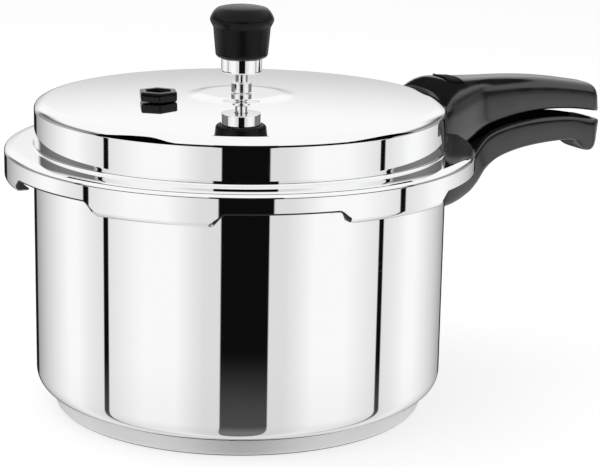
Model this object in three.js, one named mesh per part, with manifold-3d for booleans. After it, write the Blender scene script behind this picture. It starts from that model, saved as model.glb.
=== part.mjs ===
// Stovetop pressure cooker with an outer bayonet lid, a lifting weight valve and two stacked handles.
// Millimetres, +Z up. The pot axis is Z, the base rests on z = 0 and both handles point along +X.

import * as THREE from 'three';
import { mergeVertices } from 'three/addons/utils/BufferGeometryUtils.js';
import Module from 'manifold-3d';

// Clearances and facets
const SEAT_GAP = 0.3;
const LUG_CLEARANCE = 0.6;
const SWEEP_CLEARANCE = 1.2;
const ROUND_SIDES = 42;
const SMALL_SIDES = 18;
const KNOB_SIDES = 24;
const HEX_SIDES = 6;
const SECTOR_STEPS = 8;
const WIRE_SIDES = 4;

// Pot and its sandwich base
const POT_RADIUS = 110;
const POT_HEIGHT = 123.2;
const POT_CORNER = 9.5;
const SHEET = 1.2;
const BASE_INSET = 10;
const BASE_HEIGHT = 9.5;
const BASE_SKIN = 0.8;
const BASE_EDGE = 2.2;

// Bayonet rim: lugs turned down on the pot, lugs turned in on the lid skirt
const LUG_COUNT = 6;
const LUG_PHASE = -16.3;
const POT_LUG_ANGLE = 27;
const LID_LUG_ANGLE = 31;
const RIM_REACH = 6.3;
const POT_LUG_REACH = 6.2;
const POT_LUG_LIP = 7.2;
const RIM_FILLET = 2;
const LIP_BEND = 2.6;
const LID_LUG_GAP = 1.3;
const LID_LUG_HEIGHT = 6.4;
const LID_LUG_CORNER = 3;
const LUG_BEND = 2.4;

// Lid shell and its gasket
const GASKET_HEIGHT = 6.2;
const GASKET_WIDTH = 9.2;
const GASKET_MARGIN = 2.5;
const GASKET_LIP = 1.9;
const GASKET_GROOVE = 5.4;
const LID_WALL_INSET = 0.5;
const LID_RISE = 23.3;
const LID_SHOULDER = 3.4;
const LID_CROWN = 2.9;
const DOME_STEPS = 3;
const PLATFORM_RADIUS = 23;
const PLATFORM_SLOPE = 2;
const PLATFORM_RISE = 0.8;
const LID_BEAD_HEIGHT = 2.6;
const LID_BEAD_REACH = 2.1;
const LID_FILLET = 2;
const SKIRT_CLEARANCE = 1.6;
const FLANGE_EDGE = 2.6;

// Vent pipe in the middle of the lid
const VENT_STEM_RADIUS = 3.3;
const VENT_THREAD_RADIUS = 4;
const VENT_COLLAR_RADIUS = 5.5;
const VENT_COLLAR_HEIGHT = 5.4;
const VENT_STEM_HEIGHT = 22.4;
const VENT_TAIL = 12;
const VENT_BORE = 1.3;
const VENT_SEAT = 2.1;

// Weight valve that stands on the vent pipe
const WEIGHT_LIFT_GAP = 5.2;
const WEIGHT_RADIUS = 10.8;
const WEIGHT_RING_HEIGHT = 7.6;
const WEIGHT_EDGE = 0.9;
const WEIGHT_CORE_RADIUS = 9.4;
const WEIGHT_CORE_HEIGHT = 17.4;
const WEIGHT_BORE = 3.8;
const KNOB_HEIGHT = 28;
const KNOB_FOOT_RADIUS = 14;
const KNOB_FOOT_ROUND = 2.6;
const KNOB_WAIST_RADIUS = 15.3;
const KNOB_WAIST_HEIGHT = 16.6;
const KNOB_RADIUS = 17;
const KNOB_BROW_HEIGHT = 20.2;
const KNOB_FACE_RADIUS = 13;
const KNOB_FACE_DOME = 1.8;
const NEEDLE_RADIUS = 2;
const NEEDLE_SHANK = 4;
const NEEDLE_COLLAR_RADIUS = 3;
const NEEDLE_COLLAR_HEIGHT = 1.2;
const NEEDLE_POINT_RADIUS = 0.5;
const NEEDLE_POINT_DEPTH = 1.2;
const CLIP_WIRE = 1.2;
const CLIP_LEVEL = 4.4;
const CLIP_OPENING = 60;

// Safety plug on the side of the lid away from the handle
const PLUG_DISTANCE = 48;
const PLUG_FLATS = 17.6;
const PLUG_HEAD_HEIGHT = 4.7;
const PLUG_CUP_RADIUS = 5.8;
const PLUG_CUP_DEPTH = 2.2;
const PLUG_STEM_RADIUS = 5;
const PLUG_BORE = 3.2;
const PLUG_TAIL = 9.5;
const HEAD_CHAMFER = 1.2;

// Washers and nuts under the lid
const WASHER_HEIGHT = 1.5;
const WASHER_WIDTH = 4;
const VENT_NUT_FLATS = 14;
const PLUG_NUT_FLATS = 16;
const NUT_HEIGHT = 4.5;

// Handles: a wide root against the metal, then a grip with a rounded end
const HANDLE_LENGTH = 121.5;
const ROOT_LENGTH = 43;
const LID_ROOT_HALF = 25.5;
const BODY_ROOT_HALF = 24;
const GRIP_HALF = 13;
const LID_HANDLE_RISE = 29.4;
const BODY_HANDLE_DROP = 35.5;
const ROOT_OVERLAP = 4;
const END_ROUND = 9;
const END_EDGE = 7;
const END_BLUNT = 0.9;
const SQUARENESS = 3;
const HANDLE_RINGS = 22;
const HANDLE_SIDES = 20;

// Handle brackets and their screws
const BRACKET_SHEET = 1.5;
const LID_SADDLE_ANGLE = 16;
const LID_SADDLE_HEIGHT = 13;
const LID_SADDLE_LIFT = 5;
const LID_TONGUE_LENGTH = 40;
const BODY_SADDLE_ANGLE = 23;
const BODY_SADDLE_HEIGHT = 21;
const BODY_SADDLE_DROP = 13.5;
const BODY_TONGUE_LENGTH = 27;
const TONGUE_WIDTH = 14;
const TONGUE_THICKNESS = 3;
const TONGUE_TIP = 8;
const SCREW_RADIUS = 2.5;
const SCREW_HEAD_RADIUS = 4.5;
const SCREW_HEAD_HEIGHT = 2.8;
const SCREW_TIP = 4.5;
const LID_SCREW_COVER = 11;
const BODY_SCREW_COVER = 4;

// Finishes
const MIRROR_STEEL = { color: 0xd9dadb, roughness: 0.06, metalness: 1 };
const SATIN_STEEL = { color: 0xc2c4c5, roughness: 0.36, metalness: 1 };
const ALUMINIUM = { color: 0xb4b6b8, roughness: 0.5, metalness: 1 };
const BRASS = { color: 0xb8923f, roughness: 0.3, metalness: 1 };
const BAKELITE = { color: 0x29292b, roughness: 0.42, metalness: 0 };
const SILICONE = { color: 0x9fa1a2, roughness: 0.7, metalness: 0 };
const FUSIBLE_ALLOY = { color: 0x8d9092, roughness: 0.45, metalness: 1 };

// Radii and levels worked out from the sizes above
const baseRadius = POT_RADIUS - BASE_INSET;
const rimRadius = POT_RADIUS + RIM_REACH;
const potLugRadius = rimRadius + POT_LUG_REACH;
const lidWallRadius = POT_RADIUS - LID_WALL_INSET;
const lidLugInner = rimRadius + LID_LUG_GAP;
const flangeRadius = potLugRadius + SKIRT_CLEARANCE + SHEET;
const gasketOuter = flangeRadius - SHEET - GASKET_MARGIN;
const gasketInner = gasketOuter - GASKET_WIDTH;
const potFloor = BASE_HEIGHT + SEAT_GAP;
const rimTop = potFloor + POT_HEIGHT;
const potLipBottom = rimTop - POT_LUG_LIP;
const flangeUnder = rimTop + GASKET_HEIGHT + 2 * SEAT_GAP;
const flangeTop = flangeUnder + SHEET;
const lugBottom = potLipBottom - LUG_CLEARANCE - SHEET;
const notchTop = lugBottom + LID_LUG_HEIGHT;
const lidEdge = flangeTop + LID_RISE;
const lidTop = lidEdge + LID_CROWN + PLATFORM_RISE;
const lidUnder = lidTop - SHEET;
const ventHole = VENT_THREAD_RADIUS + SEAT_GAP;
const collarTop = lidTop + SEAT_GAP + VENT_COLLAR_HEIGHT;
const ventTop = collarTop + VENT_STEM_HEIGHT;
const weightBottom = collarTop + WEIGHT_LIFT_GAP;
const weightShoulder = weightBottom + WEIGHT_RING_HEIGHT;
const weightTop = weightShoulder + WEIGHT_CORE_HEIGHT;
const boreTop = ventTop + NEEDLE_COLLAR_HEIGHT + 3 * SEAT_GAP;
const plugHole = PLUG_STEM_RADIUS + SEAT_GAP;
const lugPitch = 360 / LUG_COUNT;

// Solid modelling helpers
const wasm = await Module();
wasm.setup();
const radians = THREE.MathUtils.degToRad;

function toSolid(geometry) {
  const bare = geometry.clone();
  bare.deleteAttribute('normal');
  bare.deleteAttribute('uv');
  const merged = mergeVertices(bare, 1e-4);
  const corners = merged.index.array;
  const triangles = [];
  for (let i = 0; i < corners.length; i += 3) {
    const [a, b, c] = corners.slice(i, i + 3);
    if (a !== b && b !== c && c !== a) triangles.push(a, b, c);
  }
  return new wasm.Manifold(new wasm.Mesh({
    numProp: 3,
    vertProperties: new Float32Array(merged.attributes.position.array),
    triVerts: new Uint32Array(triangles),
  }));
}

function toGeometry(solid) {
  const { vertProperties, triVerts } = solid.getMesh();
  const geometry = new THREE.BufferGeometry();
  geometry.setAttribute('position', new THREE.BufferAttribute(vertProperties, 3));
  geometry.setIndex(new THREE.BufferAttribute(triVerts, 1));
  geometry.computeVertexNormals();
  return geometry;
}

function cut(geometry, ...tools) {
  return toGeometry(tools.reduce((solid, tool) => solid.subtract(toSolid(tool)), toSolid(geometry)));
}

function join(geometry, ...others) {
  return toGeometry(others.reduce((solid, other) => solid.add(toSolid(other)), toSolid(geometry)));
}

function common(geometry, other) {
  return toGeometry(toSolid(geometry).intersect(toSolid(other)));
}

// Profile points are a radius from the axis and a height
function at(radius, height) {
  return new THREE.Vector2(radius, height);
}

function arc(centreRadius, centreHeight, radius, from, to, steps = 3) {
  const points = [];
  for (let i = 0; i <= steps; i += 1) {
    const angle = radians(from + ((to - from) * i) / steps);
    points.push(at(centreRadius + radius * Math.cos(angle), centreHeight + radius * Math.sin(angle)));
  }
  return points;
}

// Turns a closed profile about Z; one that starts and ends on the axis is closed along it
function revolve(profile, sides = ROUND_SIDES) {
  const loop = THREE.ShapeUtils.area(profile) < 0 ? [...profile].reverse() : [...profile];
  const closedByAxis = loop[0].x === 0 && loop.at(-1).x === 0;
  if (!closedByAxis) loop.push(loop[0].clone());
  return toGeometry(toSolid(new THREE.LatheGeometry(loop, sides).rotateX(Math.PI / 2)));
}

// Sheet metal: the outer face of a path and the same path one sheet further in
function sheetMetal(path, sheet) {
  return revolve([...path(0), ...path(sheet).reverse()]);
}

function tube(inner, outer, bottom, top, sides = SMALL_SIDES) {
  return revolve([at(inner, bottom), at(outer, bottom), at(outer, top), at(inner, top)], sides);
}

function rod(radius, bottom, top, sides = SMALL_SIDES) {
  return revolve([at(0, bottom), at(radius, bottom), at(radius, top), at(0, top)], sides);
}

function slab(fromX, toX, width, bottom, top) {
  return new THREE.BoxGeometry(toX - fromX, width, top - bottom)
    .translate((fromX + toX) / 2, 0, (bottom + top) / 2);
}

// Part of a ring seen from above, spread evenly about the given angle
function ringSector(inner, outer, middle, spread, bottom, top) {
  const from = radians(middle - spread / 2);
  const to = radians(middle + spread / 2);
  const shape = new THREE.Shape();
  shape.absarc(0, 0, outer, from, to, false);
  shape.absarc(0, 0, inner, to, from, true);
  shape.closePath();
  const upright = { depth: top - bottom, bevelEnabled: false, curveSegments: SECTOR_STEPS };
  return new THREE.ExtrudeGeometry(shape, upright).translate(0, 0, bottom);
}

function hexagon(flats, bottom, top, chamfer) {
  const corner = flats / Math.sqrt(3);
  const prism = rod(corner, bottom, top, HEX_SIDES);
  const side = [at(corner, bottom), at(corner, top - chamfer / 2), at(corner - chamfer, top)];
  return common(prism, revolve([at(0, bottom), ...side, at(0, top)], SMALL_SIDES));
}

const cooker = new THREE.Group();

function add(name, geometry, finish) {
  const mesh = new THREE.Mesh(geometry, new THREE.MeshStandardMaterial(finish));
  mesh.name = name;
  cooker.add(mesh);
  return mesh;
}

// Pot: drawn sheet with a rounded floor corner and a flange that ends in six turned-down lugs
function potPath(inset) {
  return [
    at(0, potFloor + inset),
    ...arc(POT_RADIUS - POT_CORNER, potFloor + POT_CORNER, POT_CORNER - inset, -90, 0, 4),
    ...arc(POT_RADIUS + RIM_FILLET, rimTop - SHEET - RIM_FILLET, RIM_FILLET + inset, 180, 90, 2),
    ...arc(potLugRadius - LIP_BEND, rimTop - LIP_BEND, LIP_BEND - SHEET + inset, 90, 0, 2),
    at(potLugRadius - SHEET + inset, potLipBottom),
  ];
}

function potNotch(number) {
  const middle = LUG_PHASE + (number + 0.5) * lugPitch;
  const outer = potLugRadius + SHEET;
  return ringSector(rimRadius, outer, middle, lugPitch - POT_LUG_ANGLE, potLipBottom - SHEET, rimTop + SHEET);
}

const lugNumbers = [...Array(LUG_COUNT).keys()];
add('pot_vessel', cut(sheetMetal(potPath, SHEET), ...lugNumbers.map(potNotch)), MIRROR_STEEL);

// Sandwich base: a conducting disc held in a shallow pressed cap
function basePath(inset) {
  return [
    at(0, inset),
    ...arc(baseRadius - BASE_EDGE, BASE_EDGE, BASE_EDGE - inset, -90, 0),
    at(baseRadius - inset, BASE_HEIGHT),
  ];
}

add('base_cap', sheetMetal(basePath, BASE_SKIN), SATIN_STEEL);
add('base_core', revolve([...basePath(BASE_SKIN + SEAT_GAP), at(0, BASE_HEIGHT)]), ALUMINIUM);

// Lid: crowned top, straight wall, bead, flat flange, and a skirt whose lugs hook under the pot's
function domeHeight(radius) {
  const share = radius / (lidWallRadius - LID_SHOULDER);
  return lidEdge + LID_CROWN * (1 - share * share);
}

function domePoints(inset) {
  const start = PLATFORM_RADIUS + PLATFORM_SLOPE;
  const end = lidWallRadius - LID_SHOULDER;
  return [...Array(DOME_STEPS).keys()].map((step) => {
    const radius = start + ((end - start) * step) / DOME_STEPS;
    return at(radius, domeHeight(radius) - inset);
  });
}

function lidFoot(inset) {
  const bend = LID_BEAD_HEIGHT / 2;
  const bead = arc(lidWallRadius + LID_BEAD_REACH - bend, flangeTop + bend, bend, 90, -90);
  const fillet = arc(lidWallRadius + LID_FILLET, flangeTop + LID_FILLET, LID_FILLET + inset, 180, 270, 2);
  return inset === 0 ? [at(lidWallRadius, flangeTop + LID_BEAD_HEIGHT), ...bead] : fillet;
}

function lidPath(inset) {
  return [
    at(ventHole, lidTop - inset),
    at(PLATFORM_RADIUS, lidTop - inset),
    ...domePoints(inset),
    ...arc(lidWallRadius - LID_SHOULDER, lidEdge - LID_SHOULDER, LID_SHOULDER - inset, 90, 0),
    ...lidFoot(inset),
    ...arc(flangeRadius - FLANGE_EDGE, flangeTop - FLANGE_EDGE, FLANGE_EDGE - inset, 90, 0),
    ...arc(flangeRadius - LUG_BEND, lugBottom + LUG_BEND, LUG_BEND - inset, 0, -90, 2),
    at(lidLugInner, lugBottom + inset),
  ];
}

// The gap between two skirt lugs, with the S-shaped ends of a pressed edge
function lidNotch(number) {
  const corner = LID_LUG_CORNER;
  const half = flangeRadius * Math.sin(radians((lugPitch - LID_LUG_ANGLE) / 2));
  const near = Math.sqrt(lidLugInner ** 2 - (half + corner) ** 2) - SHEET;
  const side = [
    at(half + corner, lugBottom - SHEET),
    ...arc(half + corner, lugBottom + corner, corner, 270, 180),
    ...arc(half - corner, notchTop - corner, corner, 0, 90),
  ];
  const mirrored = side.map((p) => at(-p.x, p.y)).reverse();
  const depth = flangeRadius + SHEET - near;
  return new THREE.ExtrudeGeometry(new THREE.Shape([...side, ...mirrored]), { depth, bevelEnabled: false })
    .rotateX(Math.PI / 2)
    .translate(0, -near, 0)
    .rotateZ(radians(90 + LUG_PHASE + (number + 0.5) * lugPitch));
}

const plugOpening = rod(plugHole, flangeTop, lidTop + SHEET).translate(-PLUG_DISTANCE, 0, 0);
add('lid_shell', cut(sheetMetal(lidPath, SHEET), plugOpening, ...lugNumbers.map(lidNotch)), MIRROR_STEEL);

// Sealing gasket: a ring with a groove on its pressure side, between the pot flange and the lid flange
const gasketBottom = rimTop + SEAT_GAP;
const gasketTop = flangeUnder - SEAT_GAP;
const gasketMiddle = (gasketBottom + gasketTop) / 2;
add('sealing_gasket', revolve([
  at(gasketInner, gasketBottom),
  at(gasketOuter, gasketBottom),
  at(gasketOuter, gasketTop),
  at(gasketInner, gasketTop),
  at(gasketInner, gasketTop - GASKET_LIP),
  at(gasketInner + GASKET_GROOVE, gasketMiddle),
  at(gasketInner, gasketBottom + GASKET_LIP),
]), SILICONE);

// Vent pipe, clamped through the lid by a washer and a nut
add('vent_pipe', revolve([
  at(VENT_BORE, lidUnder - VENT_TAIL),
  at(VENT_THREAD_RADIUS, lidUnder - VENT_TAIL),
  at(VENT_THREAD_RADIUS, lidTop + SEAT_GAP),
  at(VENT_COLLAR_RADIUS, lidTop + SEAT_GAP),
  at(VENT_COLLAR_RADIUS, collarTop),
  at(VENT_STEM_RADIUS, collarTop),
  at(VENT_STEM_RADIUS, ventTop),
  at(VENT_SEAT, ventTop),
  at(VENT_BORE, ventTop - NEEDLE_POINT_DEPTH),
], SMALL_SIDES), MIRROR_STEEL);

function clamp(name, hole, flats, under) {
  const washerBottom = under - SEAT_GAP - WASHER_HEIGHT;
  const nutTop = washerBottom - SEAT_GAP;
  const nut = hexagon(flats, nutTop - NUT_HEIGHT, nutTop, HEAD_CHAMFER);
  const washer = tube(hole, hole + WASHER_WIDTH, washerBottom, under - SEAT_GAP);
  return [
    add(`${name}_washer`, washer, SILICONE),
    add(`${name}_nut`, cut(nut, rod(hole, nutTop - 2 * NUT_HEIGHT, under)), BRASS),
  ];
}

clamp('vent', ventHole, VENT_NUT_FLATS, lidUnder);

// Safety plug: a hexagon head with a cup, a hollow stem, and a fusible core in the bore
const plugSeat = domeHeight(PLUG_DISTANCE - PLUG_FLATS / Math.sqrt(3)) + SEAT_GAP;
const plugUnder = domeHeight(PLUG_DISTANCE + plugHole + WASHER_WIDTH) - SHEET;
const plugHead = plugSeat + PLUG_HEAD_HEIGHT;
const cupFloor = plugHead - PLUG_CUP_DEPTH;
const plugTail = plugUnder - PLUG_TAIL;
const plugBody = cut(
  join(hexagon(PLUG_FLATS, plugSeat, plugHead, HEAD_CHAMFER), rod(PLUG_STEM_RADIUS, plugTail, cupFloor)),
  rod(PLUG_CUP_RADIUS, cupFloor, plugHead + SHEET),
  rod(PLUG_BORE, plugTail - SHEET, plugHead),
);
const plugPieces = [
  add('safety_valve_body', plugBody, BAKELITE),
  add('safety_plug_core', rod(PLUG_BORE - SEAT_GAP, plugTail, cupFloor), FUSIBLE_ALLOY),
  ...clamp('safety_valve', plugHole, PLUG_NUT_FLATS, plugUnder),
];
plugPieces.forEach((piece) => piece.position.setX(-PLUG_DISTANCE));

// Weight valve: a bored steel slug in a moulded knob, with a needle over the vent and a spring clip
const clipBottom = weightBottom + CLIP_LEVEL;
const clipTop = clipBottom + CLIP_WIRE + 2 * SEAT_GAP;
const clipRadius = WEIGHT_BORE + CLIP_WIRE / 2 + SEAT_GAP;
const clipGroove = clipRadius + CLIP_WIRE / 2 + SEAT_GAP;
const needleHole = NEEDLE_RADIUS + SEAT_GAP;
const needleTop = boreTop + NEEDLE_SHANK;
add('weight_slug', revolve([
  at(0, needleTop + SEAT_GAP),
  at(needleHole, needleTop + SEAT_GAP),
  at(needleHole, boreTop),
  at(WEIGHT_BORE, boreTop),
  at(WEIGHT_BORE, clipTop),
  at(clipGroove, clipTop),
  at(clipGroove, clipBottom),
  at(WEIGHT_BORE, clipBottom),
  at(WEIGHT_BORE, weightBottom),
  at(WEIGHT_RADIUS - WEIGHT_EDGE, weightBottom),
  at(WEIGHT_RADIUS, weightBottom + WEIGHT_EDGE),
  at(WEIGHT_RADIUS, weightShoulder),
  at(WEIGHT_CORE_RADIUS, weightShoulder),
  at(WEIGHT_CORE_RADIUS, weightTop),
  at(0, weightTop),
], SMALL_SIDES), MIRROR_STEEL);

const knobBottom = weightShoulder + SEAT_GAP;
const knobPocket = WEIGHT_CORE_RADIUS + SEAT_GAP;
const knobBrow = knobBottom + KNOB_BROW_HEIGHT;
const knobFace = knobBottom + KNOB_HEIGHT - KNOB_FACE_DOME;

function knobCrown(radius) {
  const share = radius / KNOB_FACE_RADIUS;
  return knobFace + KNOB_FACE_DOME * (1 - share * share);
}

add('weight_knob', revolve([
  at(0, weightTop + SEAT_GAP),
  at(knobPocket, weightTop + SEAT_GAP),
  at(knobPocket, knobBottom),
  ...arc(KNOB_FOOT_RADIUS - KNOB_FOOT_ROUND, knobBottom + KNOB_FOOT_ROUND, KNOB_FOOT_ROUND, -90, 0),
  at(KNOB_WAIST_RADIUS, knobBottom + KNOB_WAIST_HEIGHT),
  at(KNOB_RADIUS, knobBrow),
  at((KNOB_RADIUS + KNOB_FACE_RADIUS + KNOB_FACE_DOME) / 2, (knobBrow + knobFace) / 2),
  at(KNOB_FACE_RADIUS, knobCrown(KNOB_FACE_RADIUS)),
  at(KNOB_FACE_RADIUS / 2, knobCrown(KNOB_FACE_RADIUS / 2)),
  at(0, knobCrown(0)),
], KNOB_SIDES), BAKELITE);

const needleCollarTop = boreTop - SEAT_GAP;
const needleThroat = VENT_SEAT - SEAT_GAP;
add('weight_needle', revolve([
  at(0, ventTop - NEEDLE_POINT_DEPTH),
  at(NEEDLE_POINT_RADIUS, ventTop - NEEDLE_POINT_DEPTH),
  at(needleThroat, ventTop),
  at(needleThroat, needleCollarTop - NEEDLE_COLLAR_HEIGHT),
  at(NEEDLE_COLLAR_RADIUS, needleCollarTop - NEEDLE_COLLAR_HEIGHT),
  at(NEEDLE_COLLAR_RADIUS, needleCollarTop),
  at(NEEDLE_RADIUS, needleCollarTop),
  at(NEEDLE_RADIUS, needleTop),
  at(0, needleTop),
], SMALL_SIDES), SATIN_STEEL);

class ClipPath extends THREE.Curve {
  getPoint(share, target = new THREE.Vector3()) {
    const angle = radians(CLIP_OPENING / 2 + share * (360 - CLIP_OPENING));
    return target.set(clipRadius * Math.cos(angle), clipRadius * Math.sin(angle), (clipBottom + clipTop) / 2);
  }
}

const wireSection = new THREE.Shape().absarc(0, 0, CLIP_WIRE / 2, 0, 2 * Math.PI);
const wireSteps = { steps: SMALL_SIDES, curveSegments: WIRE_SIDES, extrudePath: new ClipPath() };
add('weight_clip', new THREE.ExtrudeGeometry(wireSection, wireSteps), SATIN_STEEL);

// A smooth curve through a few (distance, height) points, read at any distance
function smoothThrough(points) {
  const slope = (i) => {
    const before = points[Math.max(i - 1, 0)];
    const after = points[Math.min(i + 1, points.length - 1)];
    return (after.y - before.y) / (after.x - before.x);
  };
  return (x) => {
    const next = points.findIndex((p) => p.x > x);
    const i = next < 0 ? points.length - 2 : Math.max(next - 1, 0);
    const [start, end] = [points[i], points[i + 1]];
    const span = end.x - start.x;
    const t = THREE.MathUtils.clamp((x - start.x) / span, 0, 1);
    const bend = slope(i) * span * t * (1 - t) ** 2 - slope(i + 1) * span * t * t * (1 - t);
    return start.y + (end.y - start.y) * t * t * (3 - 2 * t) + bend;
  };
}

// Outline points of a handle: a share of the root's or the grip's length, and a share of the handle's height
function root(share, rise) {
  return at(share * ROOT_LENGTH, rise);
}

function grip(share, rise) {
  return at(ROOT_LENGTH + share * (HANDLE_LENGTH - ROOT_LENGTH), rise);
}

// One cross-section: a rounded rectangle between two heights, as a ring of points
function handleRing(x, half, top, bottom) {
  const power = 2 / SQUARENESS;
  const bulge = (value) => Math.sign(value) * Math.abs(value) ** power;
  return [...Array(HANDLE_SIDES).keys()].map((step) => {
    const angle = (2 * Math.PI * step) / HANDLE_SIDES;
    const height = (top + bottom) / 2 + (bulge(Math.sin(angle)) * (top - bottom)) / 2;
    return new THREE.Vector3(x, half * bulge(Math.cos(angle)), height);
  });
}

function loft(rings) {
  const sides = rings[0].length;
  const middle = (ring) => ring.reduce((sum, p) => sum.add(p), new THREE.Vector3()).divideScalar(sides);
  const vertices = [...rings.flat(), middle(rings[0]), middle(rings.at(-1))];
  const first = vertices.length - 2;
  const last = vertices.length - 1;
  const triangles = [];
  for (let side = 0; side < sides; side += 1) {
    const next = (side + 1) % sides;
    for (let ring = 0; ring < rings.length - 1; ring += 1) {
      const [a, b] = [ring * sides + side, ring * sides + next];
      triangles.push(a, b, b + sides, a, b + sides, a + sides);
    }
    const end = (rings.length - 1) * sides;
    triangles.push(first, next, side, last, end + side, end + next);
  }
  const geometry = new THREE.BufferGeometry().setFromPoints(vertices);
  geometry.setIndex(triangles);
  return geometry;
}

// A handle that starts at the wall: wide root, slimmer grip, end rounded in plan and on top
function handle(wall, level, height, rootHalf, topPoints, bottomPoints) {
  const topAt = smoothThrough(topPoints);
  const bottomAt = smoothThrough(bottomPoints);
  const rings = [];
  for (let i = 0; i <= HANDLE_RINGS; i += 1) {
    const share = (1 - Math.cos((Math.PI * i) / HANDLE_RINGS)) / 2;
    const out = -ROOT_OVERLAP + share * (HANDLE_LENGTH + ROOT_OVERLAP);
    const flare = 1 - THREE.MathUtils.smoothstep(out, 0, ROOT_LENGTH);
    const intoEnd = THREE.MathUtils.clamp((out - HANDLE_LENGTH + END_ROUND) / END_ROUND, 0, END_BLUNT);
    const roundness = Math.sqrt(1 - intoEnd * intoEnd);
    const half = (GRIP_HALF + (rootHalf - GRIP_HALF) * flare) * roundness;
    const edge = END_EDGE * (1 - roundness);
    const top = level + height * topAt(out) - edge;
    const bottom = level + height * bottomAt(out);
    rings.push(handleRing(wall + out, half, top, bottom));
  }
  return loft(rings);
}

// Bracket: a curved saddle against the wall with a tongue that reaches into the handle
function bracketParts(wall, saddleAngle, saddleBottom, saddleHeight, tongueLength, clearance) {
  const inner = wall + SEAT_GAP - clearance;
  const outer = wall + SEAT_GAP + BRACKET_SHEET + clearance;
  const spread = saddleAngle + (2 * clearance * 180) / (Math.PI * wall);
  const tongueBottom = saddleBottom + (saddleHeight - TONGUE_THICKNESS) / 2;
  const tongueTop = tongueBottom + TONGUE_THICKNESS;
  const saddleTop = saddleBottom + saddleHeight;
  return {
    saddle: ringSector(inner, outer, 0, spread, saddleBottom - clearance, saddleTop + clearance),
    tongue: slab(
      wall + SEAT_GAP + BRACKET_SHEET / 2,
      wall + tongueLength + clearance,
      TONGUE_WIDTH + 2 * clearance,
      tongueBottom - clearance,
      tongueTop + clearance,
    ),
    tongueBottom,
    tongueTop,
    screwX: wall + tongueLength - TONGUE_TIP,
  };
}

// Screw from below: a head, and a shank through the tongue; the same profile grown makes its hole
function screwProfile(bracket, cover, headBottom, clearance) {
  const headTop = bracket.tongueBottom - cover;
  const tip = bracket.tongueTop + SCREW_TIP;
  return revolve([
    at(0, headBottom),
    at(SCREW_HEAD_RADIUS + clearance, headBottom),
    at(SCREW_HEAD_RADIUS + clearance, headTop + clearance),
    at(SCREW_RADIUS + clearance, headTop + clearance),
    at(SCREW_RADIUS + clearance, tip + clearance),
    at(0, tip + clearance),
  ], SMALL_SIDES).translate(bracket.screwX, 0, 0);
}

function addHandle(name, solid, keepOut, bracketSizes, cover) {
  const bracket = bracketParts(...bracketSizes, 0);
  const pocket = bracketParts(...bracketSizes, SEAT_GAP);
  const headBottom = bracket.tongueBottom - cover - SCREW_HEAD_HEIGHT;
  const screwHole = screwProfile(bracket, cover, 0, SEAT_GAP);
  add(`${name}_bracket`, cut(join(bracket.saddle, bracket.tongue), screwHole), SATIN_STEEL);
  add(`${name}_handle`, cut(solid, keepOut, pocket.saddle, pocket.tongue, screwHole), BAKELITE);
  add(`${name}_handle_screw`, screwProfile(bracket, cover, headBottom, 0), SATIN_STEEL);
}

// Lid handle: an arched root over the lid wall and flange, then a grip that falls gently to its end
const lidHandleTop = [
  root(-0.1, 0.646),
  root(0.01, 0.765),
  root(0.1, 0.925),
  root(0.21, 1),
  root(0.5, 0.952),
  grip(0, 0.925),
  grip(0.22, 0.908),
  grip(0.47, 0.857),
  grip(0.73, 0.759),
  grip(1, 0.629),
];
const lidHandleBottom = [
  root(-0.1, -0.34),
  root(0.45, -0.327),
  root(0.65, -0.238),
  root(0.825, -0.095),
  grip(0, 0.017),
  grip(0.22, 0.156),
  grip(0.47, 0.218),
  grip(0.73, 0.194),
  grip(1, 0.088),
];
const lidReach = flangeRadius + SEAT_GAP;
const beadReach = lidWallRadius + LID_BEAD_REACH + SEAT_GAP;
const beadTop = flangeTop + LID_BEAD_HEIGHT + SEAT_GAP;
const lidKeepOut = revolve([
  at(0, 0),
  at(lidReach, 0),
  at(lidReach, flangeTop + SEAT_GAP),
  at(beadReach, flangeTop + SEAT_GAP),
  at(beadReach, beadTop),
  at(lidWallRadius + SEAT_GAP, beadTop),
  at(lidWallRadius + SEAT_GAP, 2 * lidTop),
  at(0, 2 * lidTop),
]);
addHandle(
  'lid',
  handle(lidWallRadius, flangeTop, LID_HANDLE_RISE, LID_ROOT_HALF, lidHandleTop, lidHandleBottom),
  lidKeepOut,
  [lidWallRadius, LID_SADDLE_ANGLE, flangeTop + LID_SADDLE_LIFT, LID_SADDLE_HEIGHT, LID_TONGUE_LENGTH],
  LID_SCREW_COVER,
);

// Body handle: a root below the turning lugs, then a climb outside the skirt and a hooked grip
const bodyHandleTop = [
  root(-0.1, -0.324),
  root(0.45, -0.282),
  root(0.63, -0.208),
  root(0.78, -0.028),
  root(0.92, 0.113),
  grip(0.06, 0.203),
  grip(0.24, 0.279),
  grip(0.45, 0.31),
  grip(0.7, 0.293),
  grip(1, 0.183),
];
const bodyHandleBottom = [
  root(-0.1, -1),
  root(0.3, -0.969),
  root(0.63, -0.834),
  root(0.78, -0.699),
  root(0.92, -0.493),
  grip(0.06, -0.33),
  grip(0.24, -0.208),
  grip(0.45, -0.146),
  grip(0.62, -0.13),
  grip(0.68, -0.146),
  grip(0.735, -0.254),
  grip(0.79, -0.327),
  grip(0.9, -0.332),
  grip(1, -0.239),
];
const bodyReach = POT_RADIUS + BRACKET_SHEET + 2 * SEAT_GAP;
const sweepReach = flangeRadius + SWEEP_CLEARANCE;
const sweepBottom = lugBottom - SWEEP_CLEARANCE;
const bodyKeepOut = revolve([
  at(0, 0),
  at(bodyReach, 0),
  at(bodyReach, sweepBottom),
  at(sweepReach, sweepBottom),
  at(sweepReach, 2 * rimTop),
  at(0, 2 * rimTop),
]);
const bodySaddleBottom = rimTop - BODY_SADDLE_DROP - BODY_SADDLE_HEIGHT;
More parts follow.
